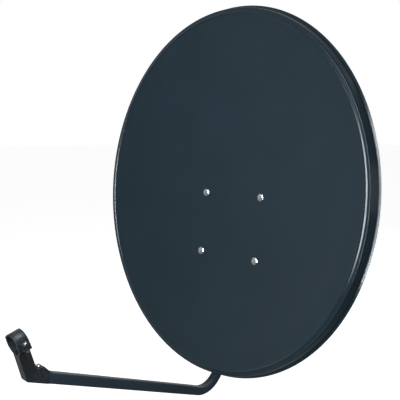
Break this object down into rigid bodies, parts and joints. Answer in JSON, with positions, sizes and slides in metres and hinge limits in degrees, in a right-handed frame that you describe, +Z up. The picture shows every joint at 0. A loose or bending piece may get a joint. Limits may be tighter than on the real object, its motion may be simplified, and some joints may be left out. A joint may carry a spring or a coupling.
{
  "type": "satellite dish",
  "caption": "Offset-fed satellite dish on a mast clamp, with a bent square feed arm and an empty split collar for an LNB.",
  "frame": {"origin": "on the mast's axis, halfway between the upper and lower clamp jaws", "axes": "+Z up the mast, -Y the way the dish faces, +X to the right for someone looking at the dish's face"},
  "size_m": [0.872, 0.8759, 0.9987],
  "materials": {
    "dish_paint": "anthracite powder coat, satin",
    "bracket_paint": "anthracite powder coat, satin",
    "arm_paint": "anthracite powder coat, satin",
    "bolt_zinc": "bright zinc plated",
    "jaw_zinc": "hot dip galvanised",
    "screw_steel": "stainless",
    "black_plastic": "moulded, fine texture"
  },
  "bodies": {
    "mast_mount": {"mast_bracket": "bracket_paint", "front_jaw_upper": "jaw_zinc", "front_jaw_lower": "jaw_zinc", "clamp_bolts": "bolt_zinc", "pivot_bolt": "bolt_zinc", "pivot_washers": "bolt_zinc", "pivot_nut": "bolt_zinc", "lock_bolts": "bolt_zinc", "lock_washers": "bolt_zinc", "lock_nuts": "bolt_zinc"},
    "upper_rear_jaw": {"rear_jaw_upper": "jaw_zinc", "clamp_washers_upper": "bolt_zinc", "clamp_nuts_upper": "bolt_zinc"},
    "lower_rear_jaw": {"rear_jaw_lower": "jaw_zinc", "clamp_washers_lower": "bolt_zinc", "clamp_nuts_lower": "bolt_zinc"},
    "dish": {"reflector": "dish_paint", "reflector_bolts": "bolt_zinc", "reflector_washers": "bolt_zinc", "reflector_nuts": "bolt_zinc", "back_bracket": "bracket_paint", "feed_arm": "arm_paint", "arm_end_cap": "black_plastic", "arm_bolts": "bolt_zinc", "arm_washers": "bolt_zinc", "arm_nuts": "bolt_zinc", "lnb_holder": "black_plastic", "holder_screw": "screw_steel", "collar_nuts": "screw_steel"},
    "collar_clamp": {"collar_cap": "black_plastic", "collar_screws": "screw_steel"}
  },
  "joints": [
    {"name": "elevation", "type": "hinge", "parent": "mast_mount", "child": "dish", "pos_m": [0, -0.095, 0.035], "axis": [-1, 0, 0], "range_deg": [-13.5, 21.5]},
    {"name": "upper_jaw_slide", "type": "slide", "parent": "mast_mount", "child": "upper_rear_jaw", "axis": [0, 1, 0], "range_m": [-0.016, 0.014]},
    {"name": "lower_jaw_slide", "type": "slide", "parent": "mast_mount", "child": "lower_rear_jaw", "axis": [0, 1, 0], "range_m": [-0.016, 0.014]},
    {"name": "collar_open", "type": "slide", "parent": "dish", "child": "collar_clamp", "axis": [0, -0.2768, 0.9609], "range_m": [0, 0.007]}
  ]
}
